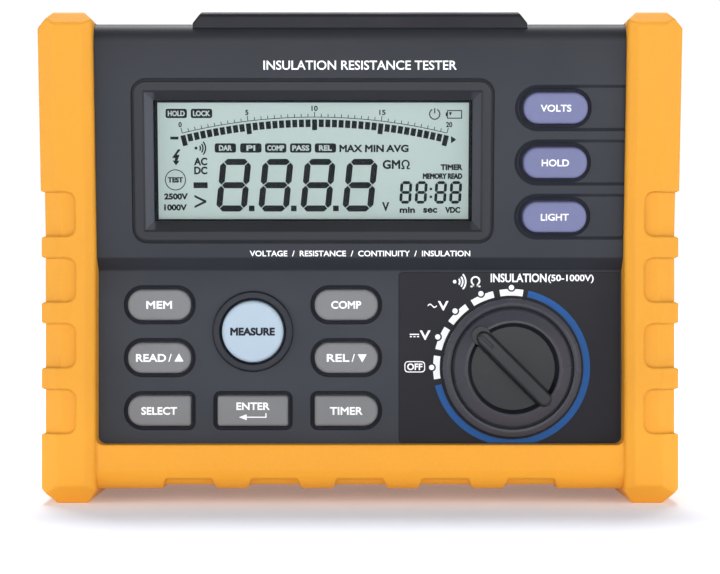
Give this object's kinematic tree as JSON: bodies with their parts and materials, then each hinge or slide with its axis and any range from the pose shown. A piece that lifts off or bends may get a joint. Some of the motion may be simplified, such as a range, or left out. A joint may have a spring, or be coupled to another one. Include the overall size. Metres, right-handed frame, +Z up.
{
  "type": "insulation resistance tester",
  "caption": "Portable insulation resistance tester: dark case in a rubber holster, leaning display, oval keys, round measure button, rotary selector and top sockets.",
  "frame": {"origin": "on the floor under the middle of the object, which stands on its holster's feet", "axes": "+X to the right as the user faces it, +Y from the front panel to the back, +Z up"},
  "size_m": [0.202, 0.0939, 0.1558],
  "materials": {
    "rubber_orange": "matt overmoulded rubber",
    "case_plastic": "fine-textured moulded plastic",
    "cover_plastic": "fine-textured moulded plastic",
    "bezel_plastic": "satin moulded plastic",
    "window_clear": "clear acrylic",
    "lcd": "reflective liquid crystal panel",
    "diffuser": "white light guide",
    "contact_strip": "layered conductive rubber",
    "board": "green solder mask",
    "steel": "zinc-plated",
    "silicone": "soft silicone",
    "key_lavender": "matt silicone key",
    "key_grey": "matt silicone key",
    "measure_blue": "smooth silicone key",
    "ring_black": "satin moulded plastic",
    "overlay_black": "semi-gloss printed film",
    "knob_black": "satin moulded plastic",
    "acetal": "natural acetal",
    "spring_bronze": "sprung bronze",
    "brass": "turned brass",
    "socket_red": "moulded ring",
    "socket_black": "moulded ring",
    "socket_green": "moulded ring",
    "chip_black": "moulded epoxy package",
    "ferrite": "ferrite",
    "winding": "taped copper winding",
    "can_aluminium": "sleeved aluminium can",
    "relay_blue": "moulded relay case",
    "fuse_glass": "ceramic-filled glass tube",
    "ribbon": "flat ribbon insulation",
    "cell": "wrapped alkaline cell",
    "stand_plastic": "glass-filled nylon"
  },
  "bodies": {
    "case": {"holster": "rubber_orange", "front_case": "case_plastic", "rear_case": "case_plastic", "terminal_cover": "cover_plastic", "terminal_block": "ring_black", "socket_contacts": "brass", "socket_ring_line": "socket_red", "socket_ring_earth": "socket_black", "socket_ring_guard": "socket_green", "socket_ring_volt": "socket_red", "display_bezel": "bezel_plastic", "display_window": "window_clear", "lcd_glass": "lcd", "lcd_backlight": "diffuser", "lcd_contact_strips": "contact_strip", "display_board": "board", "display_board_screws": "steel", "side_keypad_mat": "silicone", "main_keypad_mat": "silicone", "measure_ring": "ring_black", "dial_overlay": "overlay_black", "detent_ring": "acetal", "main_board": "board", "main_board_screws": "steel", "processor_chip": "chip_black", "buzzer": "chip_black", "board_ribbon": "ribbon", "ribbon_headers": "chip_black", "power_board": "board", "power_board_screws": "steel", "transformer_core": "ferrite", "transformer_winding": "winding", "storage_capacitors": "can_aluminium", "relays": "relay_blue", "fuse": "fuse_glass", "fuse_clips": "brass", "battery_cells": "cell", "battery_springs": "steel", "battery_plates": "steel", "stand_pins": "steel", "case_screws": "steel"},
    "knob": {"selector_knob": "knob_black", "knob_shaft": "acetal", "switch_rotor": "acetal", "wiper_contacts": "spring_bronze", "detent_balls": "steel"},
    "battery_door": {"battery_cover": "case_plastic", "cover_screws": "steel"},
    "stand": {"tilt_stand": "stand_plastic"},
    "key_test_voltage": {"key_test_voltage": "key_lavender"},
    "key_hold": {"key_hold": "key_lavender"},
    "key_light": {"key_light": "key_lavender"},
    "key_memory": {"key_memory": "key_grey"},
    "key_read": {"key_read": "key_grey"},
    "key_select": {"key_select": "key_grey"},
    "key_enter": {"key_enter": "key_grey"},
    "key_timer": {"key_timer": "key_grey"},
    "key_compare": {"key_compare": "key_grey"},
    "key_relative": {"key_relative": "key_grey"},
    "measure_button": {"measure_button": "measure_blue"}
  },
  "joints": [
    {"name": "key_test_voltage_press", "type": "slide", "parent": "case", "child": "key_test_voltage", "axis": [0, 0.9925, 0.1219], "range_m": [0, 0.0012], "stiffness_N_per_m": 400, "springref_m": -0.002},
    {"name": "key_hold_press", "type": "slide", "parent": "case", "child": "key_hold", "axis": [0, 0.9925, 0.1219], "range_m": [0, 0.0012], "stiffness_N_per_m": 400, "springref_m": -0.002},
    {"name": "key_light_press", "type": "slide", "parent": "case", "child": "key_light", "axis": [0, 0.9925, 0.1219], "range_m": [0, 0.0012], "stiffness_N_per_m": 400, "springref_m": -0.002},
    {"name": "key_memory_press", "type": "slide", "parent": "case", "child": "key_memory", "axis": [0, 1, 0], "range_m": [0, 0.0012], "stiffness_N_per_m": 400, "springref_m": -0.002},
    {"name": "key_read_press", "type": "slide", "parent": "case", "child": "key_read", "axis": [0, 1, 0], "range_m": [0, 0.0012], "stiffness_N_per_m": 400, "springref_m": -0.002},
    {"name": "key_select_press", "type": "slide", "parent": "case", "child": "key_select", "axis": [0, 1, 0], "range_m": [0, 0.0012], "stiffness_N_per_m": 400, "springref_m": -0.002},
    {"name": "key_enter_press", "type": "slide", "parent": "case", "child": "key_enter", "axis": [0, 1, 0], "range_m": [0, 0.0012], "stiffness_N_per_m": 400, "springref_m": -0.002},
    {"name": "key_timer_press", "type": "slide", "parent": "case", "child": "key_timer", "axis": [0, 1, 0], "range_m": [0, 0.0012], "stiffness_N_per_m": 400, "springref_m": -0.002},
    {"name": "key_compare_press", "type": "slide", "parent": "case", "child": "key_compare", "axis": [0, 1, 0], "range_m": [0, 0.0012], "stiffness_N_per_m": 400, "springref_m": -0.002},
    {"name": "key_relative_press", "type": "slide", "parent": "case", "child": "key_relative", "axis": [0, 1, 0], "range_m": [0, 0.0012], "stiffness_N_per_m": 400, "springref_m": -0.002},
    {"name": "measure_button_press", "type": "slide", "parent": "case", "child": "measure_button", "axis": [0, 1, 0], "range_m": [0, 0.0012], "stiffness_N_per_m": 400, "springref_m": -0.002},
    {"name": "selector_turn", "type": "hinge", "parent": "case", "child": "knob", "pos_m": [0.0484, -0.03, 0.043], "axis": [0, -1, 0], "range_deg": [-45, 45]},
    {"name": "battery_door_pull", "type": "slide", "parent": "case", "child": "battery_door", "axis": [0, 1, 0], "range_m": [0, 0.03]},
    {"name": "stand_swing", "type": "hinge", "parent": "case", "child": "stand", "pos_m": [0, 0.0427, 0.132], "axis": [1, 0, 0], "range_deg": [0, 50]}
  ]
}
